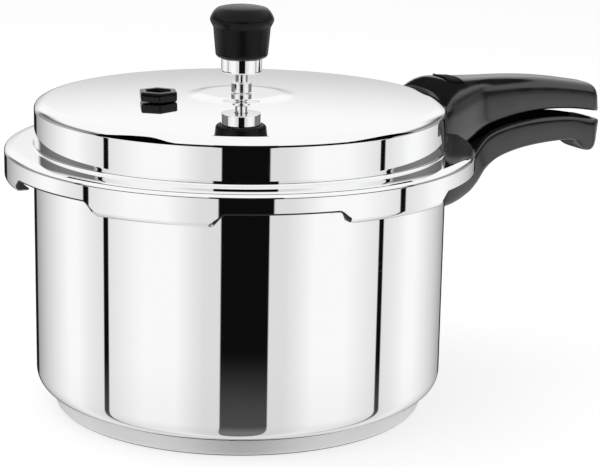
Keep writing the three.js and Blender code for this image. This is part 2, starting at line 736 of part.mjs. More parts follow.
addHandle(
  'body',
  handle(POT_RADIUS, rimTop, BODY_HANDLE_DROP, BODY_ROOT_HALF, bodyHandleTop, bodyHandleBottom),
  bodyKeepOut,
  [POT_RADIUS, BODY_SADDLE_ANGLE, bodySaddleBottom, BODY_SADDLE_HEIGHT, BODY_TONGUE_LENGTH],
  BODY_SCREW_COVER,
);

export default cooker;
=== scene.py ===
# Dresses a stovetop pressure cooker: mirror-polished pot and lid, satin base, moulded handles and weight.
import math

import bmesh
import bpy
from mathutils import Matrix, Vector


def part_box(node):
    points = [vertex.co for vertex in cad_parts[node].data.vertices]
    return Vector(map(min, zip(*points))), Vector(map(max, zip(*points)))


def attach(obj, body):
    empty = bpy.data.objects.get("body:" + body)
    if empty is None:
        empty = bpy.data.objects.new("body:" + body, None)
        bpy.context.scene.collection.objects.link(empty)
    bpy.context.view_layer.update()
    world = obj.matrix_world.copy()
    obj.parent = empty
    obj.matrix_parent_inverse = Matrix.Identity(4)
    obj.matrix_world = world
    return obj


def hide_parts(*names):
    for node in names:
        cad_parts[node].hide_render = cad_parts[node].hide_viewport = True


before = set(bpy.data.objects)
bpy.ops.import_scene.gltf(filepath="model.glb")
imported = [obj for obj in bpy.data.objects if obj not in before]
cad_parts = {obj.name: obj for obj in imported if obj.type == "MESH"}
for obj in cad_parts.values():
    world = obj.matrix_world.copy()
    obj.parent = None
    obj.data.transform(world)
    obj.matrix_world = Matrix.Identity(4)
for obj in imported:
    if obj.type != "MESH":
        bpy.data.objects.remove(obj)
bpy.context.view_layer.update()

MM = 0.001
SAME_PLACE = 0.001 * MM
WHOLE_TURN = 2 * math.pi
SECTORS = 6

# Sizes in millimetres, the same as the solids'
POT_RADIUS = 110.0
POT_FLOOR = 9.8
POT_CORNER = 9.5
FLOOR_RING = 60.0
WALL_RINGS = (60.0, 95.0)
RIM_TOP = 133.0
RIM_RADIUS = 116.3
RIM_BEND = 2.0
RIM_BEVEL = 0.4
SHEET = 1.2
POT_LUG_RADIUS = 122.5
POT_LUG_BOTTOM = 125.8
POT_LUG_ANGLE = 27.0
POT_LUG_ROUND = 2.6
BASE_RADIUS = 100.0
BASE_HEIGHT = 9.5
BASE_SKIN = 0.8
BASE_EDGE = 2.2
BASE_RING = 40.0
BASE_LIP = 8.6
# Height of the painted contact shadow along the base's bottom edge
BASE_CONTACT_SHADOW = 0.95
LUG_COUNT = 6
LUG_PHASE = -16.3
LID_LUG_ANGLE = 31.0
LID_LUG_INNER = 117.6
LUG_SLOPE = 3.6
LUG_BOTTOM = 124.0
LUG_ROUND = 2.4
LUG_FLAT = 120.0
NOTCH_TOP = 130.4
SKIRT_RADIUS = 125.3
SKIRT_EDGE = 1.7
SKIRT_ROUND = 2.0
SKIRT_ROUND_AT = 138.44
SKIRT_RINGS = (138.0, 135.0, 132.2)
FLANGE_TOP = 141.0
FLANGE_FLAT = 115.0
FLANGE_FALL_START = 119.0
FLANGE_FALL = 18.0
FLANGE_FALL_END = 76.0
FLANGE_UNDER = 118.0
LID_WALL = 109.5
LID_WALL_RING = 152.0
LID_WALL_FOOT = 1.4
LID_SHOULDER = 3.4
SHOULDER_START = 103.27
SHOULDER_TIGHT = 3.6
SHOULDER_WIDE = 9.0
SHOULDER_ANGLES = (87.0, 55.0)
LID_EDGE = 164.3
LID_CROWN = 2.9
LID_TOP = 168.0
PLATFORM_RADIUS = 23.0
PLATFORM_SLOPE = (-3.0, 6.0)
VENT_HOLE = 4.3

# Steps round each turned piece, all multiples of the sectors
POT_STEPS = 288
BASE_STEPS = 228
LID_STEPS = 576
VENT_STEPS = 66
WEIGHT_STEPS = 96
PLUG_STEPS = 48

# View of the photograph: the cooker is turned so that its handle points right and away
TURN = math.radians(26.0)
VIEW_DISTANCE = 0.988886
VIEW_HEIGHT = 0.337329
VIEW_PAN = 0.033
VIEW_TILT = 0.244
VIEW_ROLL = 0.019
VIEW_LENS = 112.8


# Node groups shared by the finishes
def new_group(name, inputs, outputs):
    tree = bpy.data.node_groups.new(name, "ShaderNodeTree")
    for label, kind, value in inputs:
        socket = tree.interface.new_socket(label, in_out="INPUT", socket_type=kind)
        if value is not None:
            socket.default_value = value
    for label, kind in outputs:
        tree.interface.new_socket(label, in_out="OUTPUT", socket_type=kind)
    return tree, tree.nodes.new("NodeGroupInput"), tree.nodes.new("NodeGroupOutput")


def spread(tree, value, low_in, high_in, low_out, high_out, smooth=False):
    """Maps a value from one range to another and returns the output socket."""
    node = tree.nodes.new("ShaderNodeMapRange")
    node.interpolation_type = "SMOOTHSTEP" if smooth else "LINEAR"
    tree.links.new(value, node.inputs["Value"])
    for label, bound in (
            ("From Min", low_in), ("From Max", high_in), ("To Min", low_out), ("To Max", high_out)):
        if isinstance(bound, bpy.types.NodeSocket):
            tree.links.new(bound, node.inputs[label])
        else:
            node.inputs[label].default_value = bound
    return node.outputs["Result"]


def reckon(tree, operation, first, second=None):
    node = tree.nodes.new("ShaderNodeMath")
    node.operation = operation
    for socket, value in zip(node.inputs, (first, second)):
        if isinstance(value, bpy.types.NodeSocket):
            tree.links.new(value, socket)
        elif value is not None:
            socket.default_value = value
    return node.outputs["Value"]


def noise(tree, vector, scale, detail=3.0, rough=0.55):
    node = tree.nodes.new("ShaderNodeTexNoise")
    tree.links.new(vector, node.inputs["Vector"])
    if isinstance(scale, bpy.types.NodeSocket):
        tree.links.new(scale, node.inputs["Scale"])
    else:
        node.inputs["Scale"].default_value = scale
    node.inputs["Detail"].default_value = detail
    node.inputs["Roughness"].default_value = rough
    return node.outputs["Fac"]


def ring_place(tree, vector, lines, turns):
    """Coordinates that are drawn out round the Z axis, for rings and polishing marks."""
    parts = tree.nodes.new("ShaderNodeSeparateXYZ")
    tree.links.new(vector, parts.inputs["Vector"])
    across = reckon(tree, "POWER", parts.outputs["X"], 2.0)
    along = reckon(tree, "POWER", parts.outputs["Y"], 2.0)
    radius = reckon(tree, "SQRT", reckon(tree, "ADD", across, along))
    ring = tree.nodes.new("ShaderNodeCombineXYZ")
    tree.links.new(reckon(tree, "MULTIPLY", radius, lines), ring.inputs["X"])
    tree.links.new(reckon(tree, "MULTIPLY", parts.outputs["Z"], lines), ring.inputs["Y"])
    angle = reckon(tree, "ARCTAN2", parts.outputs["Y"], parts.outputs["X"])
    tree.links.new(reckon(tree, "MULTIPLY", angle, turns), ring.inputs["Z"])
    return ring.outputs["Vector"]


def make_polish_haze():
    """Soft cloudy change of gloss that handling leaves on a polished face."""
    tree, given, made = new_group(
        "polish_haze",
        [("Vector", "NodeSocketVector", None), ("Size", "NodeSocketFloat", 30.0),
         ("Clear", "NodeSocketFloat", 0.02), ("Hazed", "NodeSocketFloat", 0.06),
         ("Marks", "NodeSocketFloat", 0.05)],
        [("Roughness", "NodeSocketFloat")])
    cloud = noise(tree, given.outputs["Vector"], given.outputs["Size"], 4.0)
    gloss = spread(tree, cloud, 0.38, 0.72, given.outputs["Clear"], given.outputs["Hazed"])
    ring = ring_place(tree, given.outputs["Vector"], 1900.0, 5.0)
    marks = spread(tree, noise(tree, ring, 1.0, 2.0, 0.6), 0.64, 0.8, 0.0, 1.0, True)
    patch = spread(tree, noise(tree, given.outputs["Vector"], 14.0, 2.0), 0.45, 0.65, 0.0, 1.0, True)
    worn = reckon(tree, "MULTIPLY", reckon(tree, "MULTIPLY", marks, patch), given.outputs["Marks"])
    tree.links.new(reckon(tree, "ADD", gloss, worn), made.inputs["Roughness"])
    return tree


def make_turned_lines():
    """Fine rings of a turned or brushed face round the Z axis."""
    tree, given, made = new_group(
        "turned_lines",
        [("Vector", "NodeSocketVector", None), ("Lines", "NodeSocketFloat", 2600.0)],
        [("Mask", "NodeSocketFloat"), ("Height", "NodeSocketFloat")])
    ring = ring_place(tree, given.outputs["Vector"], given.outputs["Lines"], 1.5)
    lines = noise(tree, ring, 1.0, 2.0, 0.6)
    tree.links.new(spread(tree, lines, 0.3, 0.7, 0.0, 1.0), made.inputs["Mask"])
    tree.links.new(lines, made.inputs["Height"])
    return tree


def make_moulded_grain():
    """Fine grain of a moulded face, with a slow mottle under it."""
    tree, given, made = new_group(
        "moulded_grain",
        [("Vector", "NodeSocketVector", None), ("Grain", "NodeSocketFloat", 1400.0),
         ("Mottle", "NodeSocketFloat", 60.0)],
        [("Height", "NodeSocketFloat"), ("Patch", "NodeSocketFloat")])
    grain = noise(tree, given.outputs["Vector"], given.outputs["Grain"], 2.0)
    patch = noise(tree, given.outputs["Vector"], given.outputs["Mottle"], 3.0)
    tree.links.new(grain, made.inputs["Height"])
    tree.links.new(spread(tree, patch, 0.35, 0.7, 0.0, 1.0), made.inputs["Patch"])
    return tree


GROUPS = {
    "haze": make_polish_haze(),
    "lines": make_turned_lines(),
    "grain": make_moulded_grain(),
}


# Finishes
def new_finish(name):
    material = bpy.data.materials.new(name)
    material.use_nodes = True
    tree = material.node_tree
    shader = tree.nodes["Principled BSDF"]
    place = tree.nodes.new("ShaderNodeTexCoord").outputs["Object"]
    return material, tree, shader, place


def put_group(tree, name, place, **values):
    node = tree.nodes.new("ShaderNodeGroup")
    node.node_tree = GROUPS[name]
    tree.links.new(place, node.inputs["Vector"])
    for label, value in values.items():
        node.inputs[label].default_value = value
    return node.outputs


def tint(tree, shader, mask, first, second):
    mix = tree.nodes.new("ShaderNodeMix")
    mix.data_type = "RGBA"
    tree.links.new(mask, mix.inputs["Factor"])
    mix.inputs["A"].default_value = (*first, 1.0)
    mix.inputs["B"].default_value = (*second, 1.0)
    tree.links.new(mix.outputs["Result"], shader.inputs["Base Color"])


def relief(tree, shader, height, strength, distance):
    bump = tree.nodes.new("ShaderNodeBump")
    bump.inputs["Strength"].default_value = strength
    bump.inputs["Distance"].default_value = distance
    tree.links.new(height, bump.inputs["Height"])
    tree.links.new(bump.outputs["Normal"], shader.inputs["Normal"])


def polished_metal(name, color, clear, hazed, size=26.0):
    material, tree, shader, place = new_finish(name)
    shader.inputs["Base Color"].default_value = (*color, 1.0)
    shader.inputs["Metallic"].default_value = 1.0
    haze = put_group(tree, "haze", place, Size=size, Clear=clear, Hazed=hazed)
    tree.links.new(haze["Roughness"], shader.inputs["Roughness"])
    return material


def turned_metal(name, dark, light, smooth, coarse, lines):
    material, tree, shader, place = new_finish(name)
    shader.inputs["Metallic"].default_value = 1.0
    rings = put_group(tree, "lines", place, Lines=lines)
    tint(tree, shader, rings["Mask"], dark, light)
    tree.links.new(spread(tree, rings["Mask"], 0.0, 1.0, smooth, coarse), shader.inputs["Roughness"])
    relief(tree, shader, rings["Height"], 0.12, 0.00008)
    return material


def moulded(name, dark, light, smooth, rough, grain, strength, specular):
    material, tree, shader, place = new_finish(name)
    shader.inputs["Specular IOR Level"].default_value = specular
    skin = put_group(tree, "grain", place, Grain=grain)
    tint(tree, shader, skin["Patch"], dark, light)
    tree.links.new(spread(tree, skin["Patch"], 0.0, 1.0, smooth, rough), shader.inputs["Roughness"])
    relief(tree, shader, skin["Height"], strength, 0.0001)
    return material


mirror_steel = polished_metal("mirror_steel", (0.94, 0.942, 0.945), 0.012, 0.035)
turned_steel = polished_metal("turned_steel", (0.9, 0.902, 0.905), 0.11, 0.17, 60.0)
brass = polished_metal("brass", (0.72, 0.52, 0.2), 0.2, 0.36, 90.0)
fusible_alloy = polished_metal("fusible_alloy", (0.5, 0.505, 0.51), 0.35, 0.5, 120.0)
satin_steel = turned_metal("satin_steel", (0.94, 0.942, 0.945), (0.98, 0.98, 0.982), 0.5, 0.6, 2600.0)
# Near-black steel laid on faces as painted shade: the contact shadow along the base's bottom edge, the shade in
# the joint under the pot, and the shade inside the lid's skirt and hem
painted_shade_steel = turned_metal("painted_shade_steel", (0.04, 0.04, 0.043), (0.08, 0.08, 0.084), 0.4, 0.55, 1800.0)
aluminium = turned_metal("aluminium", (0.6, 0.605, 0.61), (0.7, 0.705, 0.71), 0.36, 0.5, 1500.0)
bakelite = moulded(
    "bakelite", (0.008, 0.008, 0.009), (0.012, 0.012, 0.013), 0.15, 0.23, 1400.0, 0.05, 0.9)
knob_bakelite = moulded(
    "knob_bakelite", (0.0035, 0.0035, 0.0045), (0.005, 0.005, 0.006), 0.25, 0.33, 1400.0, 0.1, 0.16)
plug_black = moulded(
    "plug_black", (0.003, 0.003, 0.0035), (0.004, 0.004, 0.0045), 0.1, 0.18, 1400.0, 0.04, 0.22)
# Darker, duller copy of the handles' bakelite: the plate's own black, and painted shade on the faces down in the
# body handle's hollow
plate_and_hollow_shade_bakelite = moulded(
    "plate_and_hollow_shade_bakelite", (0.002, 0.002, 0.002), (0.003, 0.003, 0.003), 0.5, 0.6, 900.0, 0.05, 0.06)
silicone = moulded(
    "silicone", (0.33, 0.335, 0.34), (0.38, 0.385, 0.39), 0.6, 0.72, 900.0, 0.15, 0.4)


# Mesh helpers
def bend(radius_at, height_at, size, start, stop, steps=10):
    """Points of a rounded corner in a profile, as (radius, height) in millimetres."""
    angles = [math.radians(start + (stop - start) * i / steps) for i in range(steps + 1)]
    return [(radius_at + size * math.cos(a), height_at + size * math.sin(a)) for a in angles]


def turn(bm, profile, steps, closed=False):
    """Spins a profile round Z: a closed one makes a ring, an open one starts and ends on the axis."""
    mark = bm.verts.layers.int.get("place") or bm.verts.layers.int.new("place")
    points = [bm.verts.new((radius * MM, 0.0, height * MM)) for radius, height in profile]
    pairs = list(zip(points, points[1:]))
    if closed:
        pairs.append((points[-1], points[0]))
    edges = [bm.edges.new(pair) for pair in pairs]
    for number, point in enumerate(points):
        point[mark] = number
    sector = WHOLE_TURN / SECTORS
    bmesh.ops.spin(bm, geom=points + edges, cent=(0, 0, 0), axis=(0, 0, 1), angle=sector,
                   steps=steps // SECTORS)
    first = list(bm.verts) + list(bm.edges) + list(bm.faces)
    for number in range(1, SECTORS):
        copy = bmesh.ops.duplicate(bm, geom=first)["geom"]
        bmesh.ops.rotate(bm, verts=[v for v in copy if isinstance(v, bmesh.types.BMVert)], cent=(0, 0, 0),
                         matrix=Matrix.Rotation(sector * number, 3, "Z"))
    bmesh.ops.remove_doubles(bm, verts=bm.verts, dist=SAME_PLACE)
    bmesh.ops.recalc_face_normals(bm, faces=bm.faces)
    return mark


def new_object(name, bm, *materials):
    mesh = bpy.data.meshes.new(name)
    bm.to_mesh(mesh)
    bm.free()
    for material in materials:
        mesh.materials.append(material)
    made = bpy.data.objects.new(name, mesh)
    bpy.context.scene.collection.objects.link(made)
    return made


def finish_piece(name, bm, material, body, nodes=(), sharp=32.0, second=None):
    """Makes a piece of the cooker that moves with a body; faces with index 1 get the second material."""
    made = new_object(name, bm, *([material, second] if second else [material]))
    made.data.shade_smooth()
    made.data.set_sharp_from_angle(angle=math.radians(sharp))
    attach(made, body)
    if nodes:
        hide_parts(*nodes)


def turned_piece(name, profile, steps, material, body, nodes, closed=False):
    bm = bmesh.new()
    turn(bm, profile, steps, closed)
    finish_piece(name, bm, material, body, nodes)


def eased(value, low, high):
    share = min(max((value - low) / (high - low), 0.0), 1.0)
    return share * share * (3 - 2 * share)


def lug_share(angle, lug_angle, slope):
    """1 in the middle of a lug, 0 in a notch, with an S-shaped end between them; angles in degrees."""
    pitch = 360.0 / LUG_COUNT
    offset = abs((angle - LUG_PHASE + pitch / 2) % pitch - pitch / 2)
    return 1.0 - eased(offset, lug_angle / 2 - slope / 2, lug_angle / 2 + slope / 2)


# Pot: drawn wall, rounded floor corner, and a flange that ends in turned-down lugs
def make_pot():
    flange_under = RIM_TOP - SHEET
    outer = [(0.0, POT_FLOOR), (FLOOR_RING, POT_FLOOR)]
    outer += bend(POT_RADIUS - POT_CORNER, POT_FLOOR + POT_CORNER, POT_CORNER, -90, 0, 16)
    heights = (POT_FLOOR + POT_CORNER + 0.5, *WALL_RINGS, flange_under - RIM_BEND - 0.5)
    outer += [(POT_RADIUS, height) for height in heights]
    outer += bend(POT_RADIUS + RIM_BEND, flange_under - RIM_BEND, RIM_BEND, 180, 90)
    outer += [(RIM_RADIUS - RIM_BEVEL, flange_under)]
    edge = [(RIM_RADIUS, flange_under + RIM_BEVEL), (RIM_RADIUS, RIM_TOP - RIM_BEVEL)]
    inner = [(RIM_RADIUS - RIM_BEVEL, RIM_TOP)]
    inner += bend(POT_RADIUS + RIM_BEND, flange_under - RIM_BEND, RIM_BEND + SHEET, 90, 180)
    inner += [(POT_RADIUS - SHEET, height) for height in reversed(WALL_RINGS)]
    inner += bend(POT_RADIUS - POT_CORNER, POT_FLOOR + POT_CORNER, POT_CORNER - SHEET, 0, -90, 16)
    inner += [(FLOOR_RING, POT_FLOOR + SHEET), (0.0, POT_FLOOR + SHEET)]
    bm = bmesh.new()
    turn(bm, outer + edge + inner, POT_STEPS)
    add_pot_lugs(bm)
    finish_piece("pot_wall", bm, mirror_steel, "pot", ["pot_vessel"])


def joined_faces(faces):
    """All faces that hang together with the given ones."""
    island = more = set(faces)
    while more:
        more = {g for f in island for e in f.edges for g in e.link_faces} - island
        island |= more
    return island


def add_pot_lugs(bm):
    """Sweeps the lug's section along each lug and closes its end."""
    start = RIM_RADIUS - 1.0
    bend_at = (POT_LUG_RADIUS - POT_LUG_ROUND, RIM_TOP - POT_LUG_ROUND)
    outer = [(start, RIM_TOP)] + bend(*bend_at, POT_LUG_ROUND, 90, 0, 6)
    edge = [(POT_LUG_RADIUS, POT_LUG_BOTTOM), (POT_LUG_RADIUS - SHEET, POT_LUG_BOTTOM)]
    inner = bend(*bend_at, POT_LUG_ROUND - SHEET, 0, 90, 6) + [(start, RIM_TOP - SHEET)]
    section = outer + edge + inner
    for number in range(LUG_COUNT):
        middle = LUG_PHASE + number * 360.0 / LUG_COUNT
        first = math.radians(middle - POT_LUG_ANGLE / 2)
        corners = [bm.verts.new((r * math.cos(first) * MM, r * math.sin(first) * MM, z * MM))
                   for r, z in section]
        face = bm.faces.new(corners)
        made = bmesh.ops.spin(bm, geom=[face, *face.edges, *face.verts], cent=(0, 0, 0), axis=(0, 0, 1),
                              angle=math.radians(POT_LUG_ANGLE), steps=24)
        ends = [v for v in made["geom_last"] if isinstance(v, bmesh.types.BMVert)]
        island = joined_faces(f for v in ends for f in v.link_faces)
        open_edges = [e for e in {e for f in island for e in f.edges} if len(e.link_faces) == 1]
        if open_edges:
            bmesh.ops.holes_fill(bm, edges=open_edges, sides=0)
        bmesh.ops.recalc_face_normals(bm, faces=list({f for f in island if f.is_valid}))


def make_base():
    corner = BASE_RADIUS - BASE_EDGE
    outer = [(0.0, 0.0), (BASE_RING, 0.0)] + bend(corner, BASE_EDGE, BASE_EDGE, -90, 0, 10)
    lip = [(BASE_RADIUS, BASE_EDGE + 0.4), (BASE_RADIUS, BASE_LIP), (BASE_RADIUS - 0.25, BASE_LIP + 0.25),
           (BASE_RADIUS - 0.3, BASE_HEIGHT)]
    inner = [(BASE_RADIUS - BASE_SKIN, BASE_HEIGHT)] + bend(corner, BASE_EDGE, BASE_EDGE - BASE_SKIN, 0, -90, 6)
    bm = bmesh.new()
    turn(bm, outer + lip + inner + [(0.0, BASE_SKIN)], BASE_STEPS)
    # Painted shade: faces of the lip's groove under the pot get the near-black steel as the shade in the joint,
    # and faces along the bottom edge get it as a painted contact shadow
    for face in bm.faces:
        middle = face.calc_center_median()
        in_joint_shade = middle.z > (BASE_LIP + 0.1) * MM
        in_contact_shadow = middle.z < BASE_CONTACT_SHADOW * MM and middle.xy.length > 0.9 * BASE_RADIUS * MM
        if in_joint_shade or in_contact_shadow:
            face.material_index = 1
    finish_piece("base_cap_skin", bm, satin_steel, "pot", ["base_cap"], second=painted_shade_steel)


# Lid: crowned top with a raised platform, straight wall, bead, flange, and a skirt with turned-in lugs
def dome_height(radius):
    share = radius / (LID_WALL - LID_SHOULDER)
    return LID_EDGE + LID_CROWN * (1 - share * share)


def lid_top_points(drop):
    start, end = (PLATFORM_RADIUS + reach for reach in PLATFORM_SLOPE)
    points = [(VENT_HOLE, LID_TOP - drop), (VENT_HOLE + 4, LID_TOP - drop), (start - 3, LID_TOP - drop)]
    for i in range(11):
        radius = start + (end - start) * i / 10
        blend = eased(radius, start, end)
        points.append((radius, LID_TOP + (dome_height(radius) - LID_TOP) * blend - drop))
    for i in range(1, 19):
        radius = end + (SHOULDER_START - end) * i / 19
        points.append((radius, dome_height(radius) - drop))
    return points


def shoulder_middles():
    """Middles of the wide bend and of the tight bend in the lid's shoulder."""
    high, change = (math.radians(angle) for angle in SHOULDER_ANGLES)
    step = SHOULDER_TIGHT - SHOULDER_WIDE
    shoulder = LID_WALL - SHOULDER_TIGHT
    wide = (shoulder + step * math.cos(change), dome_height(SHOULDER_START) - SHOULDER_WIDE * math.sin(high))
    return wide, (shoulder, wide[1] - step * math.sin(change))


def lid_outside():
    """The outer profile from the vent hole over the shoulder and the flange to the skirt."""
    high, change = SHOULDER_ANGLES
    wide, tight = shoulder_middles()
    points = lid_top_points(0.0)
    points += bend(*wide, SHOULDER_WIDE, high, change, 10)
    points += bend(*tight, SHOULDER_TIGHT, change, 0, 16)[1:]
    points += [(LID_WALL, tight[1] - 0.4), (LID_WALL, LID_WALL_RING)]
    points.append((LID_WALL, FLANGE_TOP + LID_WALL_FOOT + 0.4))
    points += bend(LID_WALL + LID_WALL_FOOT, FLANGE_TOP + LID_WALL_FOOT, LID_WALL_FOOT, 180, 270, 10)
    points += [(LID_WALL + LID_WALL_FOOT + 0.4, FLANGE_TOP), (FLANGE_FLAT, FLANGE_TOP)]
    points += bend(FLANGE_FALL_START, FLANGE_TOP - FLANGE_FALL, FLANGE_FALL, 90, FLANGE_FALL_END, 8)
    points += bend(SKIRT_RADIUS - SKIRT_ROUND, SKIRT_ROUND_AT, SKIRT_ROUND, FLANGE_FALL_END, 0, 12)
    return points + [(SKIRT_RADIUS, height) for height in SKIRT_RINGS]


def lug_section():
    """The skirt's lower end in the middle of a lug, turned in under the pot's rim."""
    bend_at = (SKIRT_RADIUS - LUG_ROUND, LUG_BOTTOM + LUG_ROUND)
    inside_top = LUG_BOTTOM + SHEET
    points = [(SKIRT_RADIUS, LUG_BOTTOM + LUG_ROUND + 0.4)] + bend(*bend_at, LUG_ROUND, 0, -90, 8)
    points += [(LUG_FLAT, LUG_BOTTOM), (LID_LUG_INNER + 0.5, LUG_BOTTOM), (LID_LUG_INNER, LUG_BOTTOM + 0.5)]
    points += [(LID_LUG_INNER, inside_top - 0.3), (LID_LUG_INNER + 0.3, inside_top), (LUG_FLAT, inside_top)]
    return points + bend(*bend_at, LUG_ROUND - SHEET, -90, 0, 8)


def hem_section(count):
    """The skirt's lower end in a notch: a round hem with as many points as the lug's section."""
    middle = NOTCH_TOP + SHEET / 2
    round_end = bend(SKIRT_RADIUS - SHEET / 2, middle, SHEET / 2, 0, -180, count - 2)
    return [(SKIRT_RADIUS, middle + 0.3)] + round_end


def lid_inside():
    """The inner profile from the skirt back up to the vent hole."""
    wall = LID_WALL - SHEET
    under = FLANGE_TOP - SHEET
    points = [(SKIRT_RADIUS - SHEET, height) for height in SKIRT_RINGS[:0:-1]]
    points += bend(SKIRT_RADIUS - SKIRT_EDGE, FLANGE_TOP - SKIRT_EDGE, SKIRT_EDGE - SHEET, 0, 90, 6)
    points += [(FLANGE_UNDER, under)]
    points += bend(wall + 3.2, under + 2.0, 2.0, 270, 180, 6)
    points += [(wall, LID_WALL_RING)]
    points += bend(LID_WALL - LID_SHOULDER, LID_EDGE - LID_SHOULDER, LID_SHOULDER - SHEET, 0, 87, 8)
    return points + lid_top_points(SHEET)[::-3] + [(VENT_HOLE, LID_TOP - SHEET)]


def make_lid():
    outer, lug = lid_outside(), lug_section()
    count = len(lug)
    hem = hem_section(count)
    bm = bmesh.new()
    mark = turn(bm, outer + lug + lid_inside(), LID_STEPS, closed=True)
    first = len(outer)
    for vert in bm.verts:
        number = vert[mark] - first
        if 0 <= number < count:
            angle = math.atan2(vert.co.y, vert.co.x)
            share = lug_share(math.degrees(angle), LID_LUG_ANGLE, LUG_SLOPE)
            radius = hem[number][0] + (lug[number][0] - hem[number][0]) * share
            height = hem[number][1] + (lug[number][1] - hem[number][1]) * share
            vert.co = (radius * math.cos(angle) * MM, radius * math.sin(angle) * MM, height * MM)
    # Painted shade: faces inside the skirt and under the flange, out past the wall, get the near-black steel as
    # the shade in the gap over the pot; in the notches and at the lugs' ends the whole hem gets it too, which
    # draws a dark line along the skirt's lower edge
    for face in bm.faces:
        numbers = [v[mark] - first for v in face.verts]
        middle = face.calc_center_median()
        share = lug_share(math.degrees(math.atan2(middle.y, middle.x)), LID_LUG_ANGLE, LUG_SLOPE)
        shade_from = 0 if share < 0.9 else count - 1
        if min(numbers) >= shade_from and middle.xy.length > LID_WALL * MM:
            face.material_index = 1
    finish_piece("lid_shell_skin", bm, mirror_steel, "lid", ["lid_shell"], second=painted_shade_steel)


# Vent pipe, slug and knob
def make_vent():
    tail, seat, collar, tip = 154.8, LID_TOP + 0.3, 173.7, 196.1
    profile = [
        (1.3, tail), (3.6, tail), (4.0, tail + 0.6), (4.0, seat), (5.3, seat), (5.5, seat + 0.3),
        (5.5, collar - 0.5), (5.0, collar), (3.6, collar), (3.3, collar + 0.3), (3.3, tip - 0.5), (2.9, tip),
        (2.1, tip), (1.3, tip - 1.2)]
    turned_piece("vent_pipe_skin", profile, VENT_STEPS, turned_steel, "lid", ["vent_pipe"],
                 closed=True)


def make_slug():
    bottom, step, throat, top = 178.9, 186.5, 198.2, 203.9
    profile = [(3.8, bottom), (9.6, bottom)] + bend(9.9, bottom + 0.9, 0.9, -90, 0, 6)
    profile += [(10.8, bottom + 1.2), (10.8, step - 0.2), (10.6, step), (9.4, step), (9.4, top), (2.3, top),
                (2.3, throat), (3.8, throat)]
    turned_piece("weight_slug_skin", profile, WEIGHT_STEPS, mirror_steel, "weight",
                 ["weight_slug"], closed=True)


# Outside of the knob above its rounded lower edge, as (radius, height over the knob's bottom)
KNOB_SIDE = [
    (14.4, 7.0), (14.85, 12.0), (15.15, 15.6), (15.2, 16.2), (15.3, 16.5), (15.75, 17.2), (16.3, 18.2),
    (16.75, 19.2), (16.95, 19.9), (16.98, 20.4), (16.85, 21.1), (16.5, 22.0), (15.9, 23.2), (15.2, 24.3),
    (14.4, 25.25), (13.7, 25.9), (13.1, 26.3), (12.4, 26.6), (11.0, 26.95), (9.0, 27.35), (6.0, 27.75),
    (3.0, 27.95), (0.0, 27.99)]


def make_knob():
    bottom, bore_top, edge = 186.8, 204.2, 2.6
    profile = [(0.0, bore_top), (9.7, bore_top), (9.7, bottom + 0.4), (10.1, bottom)]
    profile += bend(14.0 - edge, bottom + edge, edge, -90, 4, 8)
    profile += [(radius, bottom + height) for radius, height in KNOB_SIDE]
    turned_piece(
        "weight_knob_skin", profile, WEIGHT_STEPS, knob_bakelite, "weight", ["weight_knob"])


# Safety plug: a hexagon head with a bevelled top, a cup and a hollow stem
PLUG_PLACE = -48.0
PLUG_FLATS = 18.8
PLUG_TURN = 41.0
PLUG_HEAD = 4.9
PLUG_SEAT = 4.7
PLUG_BEVEL = 0.7
PLUG_RIM = (2.2, 0.4)
PLUG_CUP = 2.8
PLUG_BORE = 3.2
PLUG_STEM = 5.0


def make_safety_plug():
    low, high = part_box("safety_valve_body")
    place = Vector((PLUG_PLACE * MM, 0.0, 0.0))
    seat = high.z - PLUG_SEAT * MM
    head = bmesh.new()
    ring = bmesh.ops.create_circle(head, cap_ends=True, cap_tris=False, segments=6,
                                   radius=PLUG_FLATS / math.sqrt(3) * MM)["verts"]
    bmesh.ops.rotate(head, verts=ring, cent=(0, 0, 0), matrix=Matrix.Rotation(math.radians(PLUG_TURN), 3, "Z"))
    bmesh.ops.translate(head, verts=ring, vec=(0, 0, seat))
    sides = bmesh.ops.extrude_face_region(head, geom=list(head.faces))
    top = [v for v in sides["geom"] if isinstance(v, bmesh.types.BMVert)]
    bmesh.ops.translate(head, verts=top, vec=(0, 0, PLUG_HEAD * MM))
    bmesh.ops.recalc_face_normals(head, faces=head.faces)
    bmesh.ops.bevel(head, geom=list(head.edges), offset=PLUG_BEVEL * MM, affect="EDGES", segments=3, profile=0.5,
                    material=-1)
    crown = max(head.faces, key=lambda f: (round(f.calc_center_median().z, 6), f.calc_area()))
    for width in PLUG_RIM:
        bmesh.ops.inset_region(head, faces=[crown], thickness=width * MM, depth=0.0, use_even_offset=True)
    bmesh.ops.translate(head, verts=list(crown.verts), vec=(0, 0, -PLUG_CUP * MM))
    bmesh.ops.translate(head, verts=head.verts, vec=place)
    finish_piece("safety_plug_head", head, plug_black, "lid", ["safety_valve_body"])
    stem = bmesh.new()
    bottom, into_head = low.z / MM, seat / MM + 1.0
    turn(stem, [(PLUG_BORE, bottom), (PLUG_STEM - 0.3, bottom), (PLUG_STEM, bottom + 0.4), (PLUG_STEM, into_head),
                (PLUG_BORE, into_head)], PLUG_STEPS, closed=True)
    bmesh.ops.translate(stem, verts=stem.verts, vec=place)
    finish_piece("safety_plug_stem", stem, plug_black, "lid")


# Handles: a wide root that hugs the metal, then a slimmer grip with a rounded end
HANDLE_LENGTH = 120.6
ROOT_LENGTH = 43.0
GRIP_HALF = 12.6
END_ROUND = 9.0
END_WIDTH = 0.4
START_ROUND = 1.8
ARCH_RANGE = (2.0, 40.0)
HOLLOW_START = (24.0, 32.0)
HOLLOW_END = (HANDLE_LENGTH - 14.0, HANDLE_LENGTH - 8.0)
HOLLOW_LIP = (0.74, 0.82)
